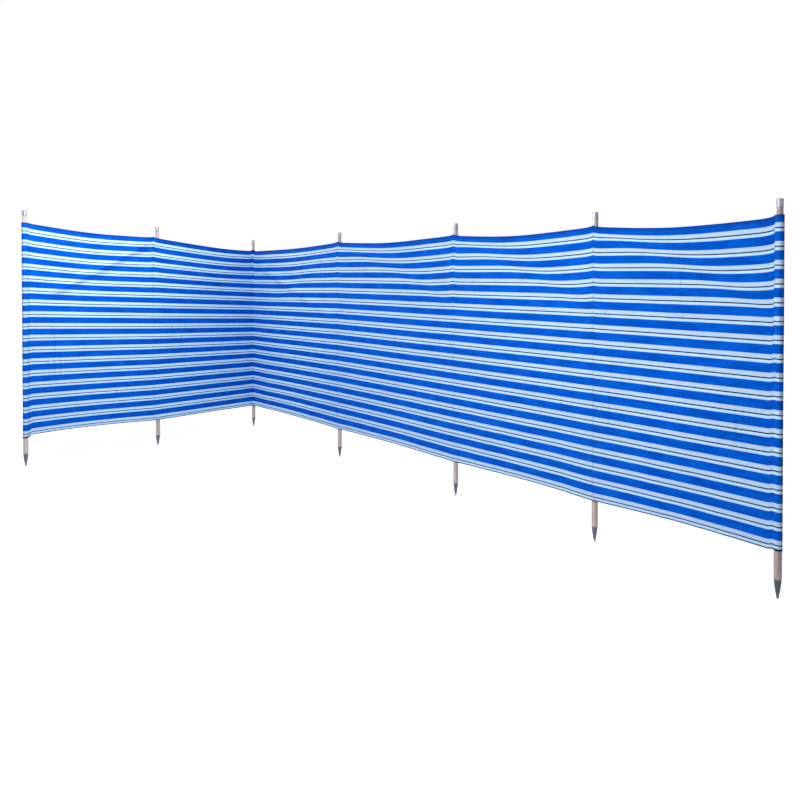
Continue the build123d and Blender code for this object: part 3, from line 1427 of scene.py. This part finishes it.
    def seam_lines(self) -> dict[Sewn, list[Grid]]:
        """Lines of the stitching: both hems, and the seams where they show from behind.

        Returns:
            Lines of points for each thread.
        """
        line = nearest(self.rows, self.fabric.stitch_line)
        upright = [] if self.at_end else [self.good[1:-1, -3], self.good[1:-1, 2]]
        return {Sewn.TOP_HEM: [self.good[line, 1:-1]], Sewn.SEAMS: [self.good[-1 - line, 1:-1], *upright]}


@dataclass
class Screen:
    """The whole length of cloth: six bays and seven sleeves."""

    layout: Layout
    fabric: Fabric = field(default_factory=Fabric)
    lifts: tuple[float, ...] = (0.006, 0.002, 0.002, 0.0155, 0.0125, 0.0115, -0.002)
    hem_lifts: tuple[float, ...] = (0.009, 0.009, 0.006, 0.004, 0.0045, 0.0065, 0.003)
    hangs: tuple[Hang, ...] = (
        Hang(
            Slack(0.004, 0.064), Slack(0.0095, 0.050), fade=(0.0, 0.62), seed=11, arch=0.0105,
            fold=0.026, fold_run=-1.65, fold_start=0.01, creases=(0.30, -0.62),
        ),
        Hang(
            Slack(0.009, 0.040), Slack(0.0175, 0.060), fade=(0.0, 0.46), seed=23, arch=0.001,
            fold=-0.004, fold_run=-2.9, creases=(0.33, -0.79, 0.88),
        ),
        Hang(
            Slack(0.020, 0.015), Slack(0.004, 0.045, 1.85), fade=(0.02, 0.36), seed=31, arch=0.008,
            fold=0.017, fold_run=2.5, fold_start=0.08, creases=(0.42, -0.86),
        ),
        Hang(
            Slack(0.003, 0.056, 2.8), Slack(0.003, 0.050), fade=(0.05, 0.50), seed=47, arch=0.008,
            fold=0.010, fold_run=2.2, fold_start=0.04, creases=(0.37, -0.75),
        ),
        Hang(
            Slack(0.005, 0.070, 2.4), Slack(0.0035, 0.064), fade=(0.10, 0.50), seed=53, arch=0.009,
            fold=0.012, fold_run=1.3, fold_start=0.16, creases=(0.31, -0.62),
        ),
        Hang(
            Slack(0.003, 0.092, 2.15), Slack(0.0135, 0.058), fade=(0.05, 0.50), seed=61, arch=0.010,
            fold=0.012, fold_run=1.2, fold_start=0.10, creases=(0.285, -0.325),
        ),
    )

    def build(self, cloth: Material, threads: dict[Sewn, Material]) -> None:
        """Make, sew, dress and report every piece of cloth.

        Args:
            cloth: Material of the cloth.
            threads: Material of each thread.
        """
        posts, work = self.layout.posts, StitchWork()
        tree = work.build_tree()
        lifts, hem_lifts = (zip(row, row[1:]) for row in (self.lifts, self.hem_lifts))
        bays = [Bay(*setting, self.fabric) for setting in zip(posts, posts[1:], lifts, hem_lifts, self.hangs)]
        sleeves = [Sleeve(*setting, self.fabric) for setting in zip(posts, [None, *bays], [*bays, None])]
        for part in [*bays, *sleeves]:
            piece = part.build()
            stitches = [
                work.sew(piece.name.replace("cloth", kind.value), tree, lines, threads[kind])
                for kind, lines in part.seam_lines().items()
            ]
            part.dress(piece, stitches, cloth)
            sewn = sum(len(row.data.polygons) for row in stitches)
            log.info("%s: %d faces, with %d faces of stitches", piece.name, len(piece.data.polygons), sewn)


@dataclass
class Posts:
    """The seven posts: packed poles, caps and spikes with their finishes."""

    layout: Layout
    sharp: float = 35
    wood: WoodFinish = field(default_factory=WoodFinish)
    cap: CapFinish = field(default_factory=CapFinish)
    spike: SpikeFinish = field(default_factory=SpikeFinish)

    def dress(self, effects: Effects) -> None:
        """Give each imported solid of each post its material.

        Args:
            effects: The shared node groups.
        """
        for post in self.layout.posts:
            for name, finish in (("pole", self.wood), ("cap", self.cap), ("spike", self.spike)):
                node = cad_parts[f"{name}_{post.number}"]
                node.data.materials.clear()
                node.data.materials.append(finish.build(effects, post))
                smooth(node.data, self.sharp)
                log.info("%s: %s", node.name, node.data.materials[0].name)


@dataclass(frozen=True)
class Lamp:
    """A large soft lamp."""

    name: str
    place: Triple
    aim: Triple
    size: float
    power: float
    spread: float = 180.0


@dataclass(frozen=True)
class Studio:
    """Camera, soft lamps, pale surroundings and floor."""

    eye: Triple = (1.284, -5.690, 1.318)
    tilt: float = 0.63
    lens: float = 29.25
    sensor: float = 36.0
    shift: float = -0.1462
    ambient: float = 0.275
    floor_half: float = 30.0
    floor_dark: Colour = srgb(240, 240, 240)
    floor_light: Colour = srgb(244, 244, 244)
    floor_roughness: float = 0.9
    shadow_middle: Triple = (-0.9, 1.6, 0.0)
    shadow_edge: Pair = (2.6, 5.0)
    shadow_glow: float = 0.65
    lamps: tuple[Lamp, ...] = (
        Lamp("key", (0.0, -2.3, 2.1), (-1.1, -1.1, 1.2), 1.0, 26.0),
        Lamp("fill", (-0.5, -4.3, 3.4), (2.0, -2.2, 0.9), 1.6, 73.0),
        Lamp("side", (-2.4, -3.3, 2.6), (2.6, -2.9, 1.1), 1.2, 17.0, 60.0),
        Lamp("back_right", (3.6, 0.6, 2.6), (1.7, -1.9, 0.9), 2.0, 45.0),
        Lamp("back_left", (-2.6, 1.4, 2.4), (-0.6, -0.8, 0.9), 1.6, 30.0),
    )

    def place_camera(self) -> None:
        """Stand the camera in front of the open wings."""
        data = bpy.data.cameras.new("camera")
        data.lens, data.sensor_width, data.shift_y = self.lens, self.sensor, self.shift
        camera = show("camera", data)
        camera.location = self.eye
        camera.rotation_euler = (math.radians(90 - self.tilt), 0, 0)
        bpy.context.scene.camera = camera

    def hang_lamps(self) -> None:
        """Hang the soft lamps."""
        for lamp in self.lamps:
            data = bpy.data.lights.new(lamp.name, "AREA")
            data.shape, data.size, data.energy = "DISK", lamp.size, lamp.power
            data.spread = math.radians(lamp.spread)
            light = show(lamp.name, data)
            light.location = lamp.place
            aim = Vector(lamp.aim) - Vector(lamp.place)
            light.rotation_euler = aim.to_track_quat("-Z", "Y").to_euler()
            light.visible_camera = False

    @staticmethod
    def looked_at(nodes: Nodes) -> Socket:
        """Tell what the camera sees straight, in a reflection or through glass from what only lights.

        Args:
            nodes: Nodes of the world or of a material.

        Returns:
            1 for what is seen, and 0 for the rest.
        """
        seen = nodes.add("ShaderNodeLightPath").outputs
        straight = nodes.maths("MAXIMUM", seen["Is Camera Ray"], seen["Is Transmission Ray"])
        return nodes.maths("MAXIMUM", straight, seen["Is Glossy Ray"])

    def light_world(self) -> None:
        """Surround the scene with even light that looks white to the camera and in reflections."""
        world = bpy.data.worlds.new("studio")
        world.use_nodes = True
        nodes = Nodes(world.node_tree)
        seen = nodes.times(self.looked_at(nodes), 1 - self.ambient)
        inputs = {"Color": WHITE, "Strength": nodes.maths("ADD", self.ambient, seen)}
        nodes.fill(world.node_tree.nodes["Background"], inputs)
        bpy.context.scene.world = world

    def lay_floor(self, layout: Layout) -> None:
        """Lay a pale floor through the spike tips at the corner and at both ends.

        Args:
            layout: Where the posts stand.
        """
        feet = [post.foot for post in layout.posts]
        corner = next(post.foot for post in layout.posts if post.seam is Seam.CORNER)
        up = (feet[-1] - corner).cross(feet[0] - corner).normalized()
        sides = [Vector((x, y, 0)) * self.floor_half for x, y in ((-1, -1), (1, -1), (1, 1), (-1, 1))]
        ground = [corner + side - Vector((0, 0, up.dot(side) / up.z)) for side in sides]
        mesh = bpy.data.meshes.new("floor")
        mesh.from_pydata([tuple(place) for place in ground], [], [(0, 1, 2, 3)])
        mesh.materials.append(self.floor_material())
        show("floor", mesh)

    def floor_material(self) -> Material:
        """White floor that keeps a faint shadow near the posts and fades into the surroundings.

        Returns:
            The material.
        """
        material, nodes, shader = new_material("floor_paper")
        place = nodes.here()
        away = nodes.vector("LENGTH", nodes.moved(place, self.shadow_middle)).outputs["Value"]
        glow = nodes.remap(away, *self.shadow_edge, (self.shadow_glow, 1.0))
        inputs = {
            "Base Color": nodes.blend(nodes.noise(place, 40.0, detail=3.0), self.floor_dark, self.floor_light),
            "Roughness": self.floor_roughness,
            "Specular IOR Level": 0.0,
            "Emission Color": WHITE,
            "Emission Strength": nodes.times(self.looked_at(nodes), glow),
        }
        nodes.fill(shader, inputs)
        return material


def main() -> None:
    """Build the windbreak and its studio."""
    logging.basicConfig(level=logging.INFO, format="%(name)s: %(message)s")
    bpy.context.scene.view_settings.view_transform = "Standard"
    layout = Layout()
    studio = Studio()
    studio.place_camera()
    effects = Effects()
    cloth = ClothFinish().build(effects)
    threads = {
        Sewn.TOP_HEM: ThreadFinish("blue_thread", srgb(16, 88, 208), srgb(8, 66, 172)).build(effects),
        Sewn.SEAMS: ThreadFinish("pale_thread", srgb(60, 120, 220), srgb(36, 92, 200)).build(effects),
    }
    Screen(layout).build(cloth, threads)
    Posts(layout).dress(effects)
    studio.hang_lamps()
    studio.light_world()
    studio.lay_floor(layout)


if __name__ == "__main__":
    main()
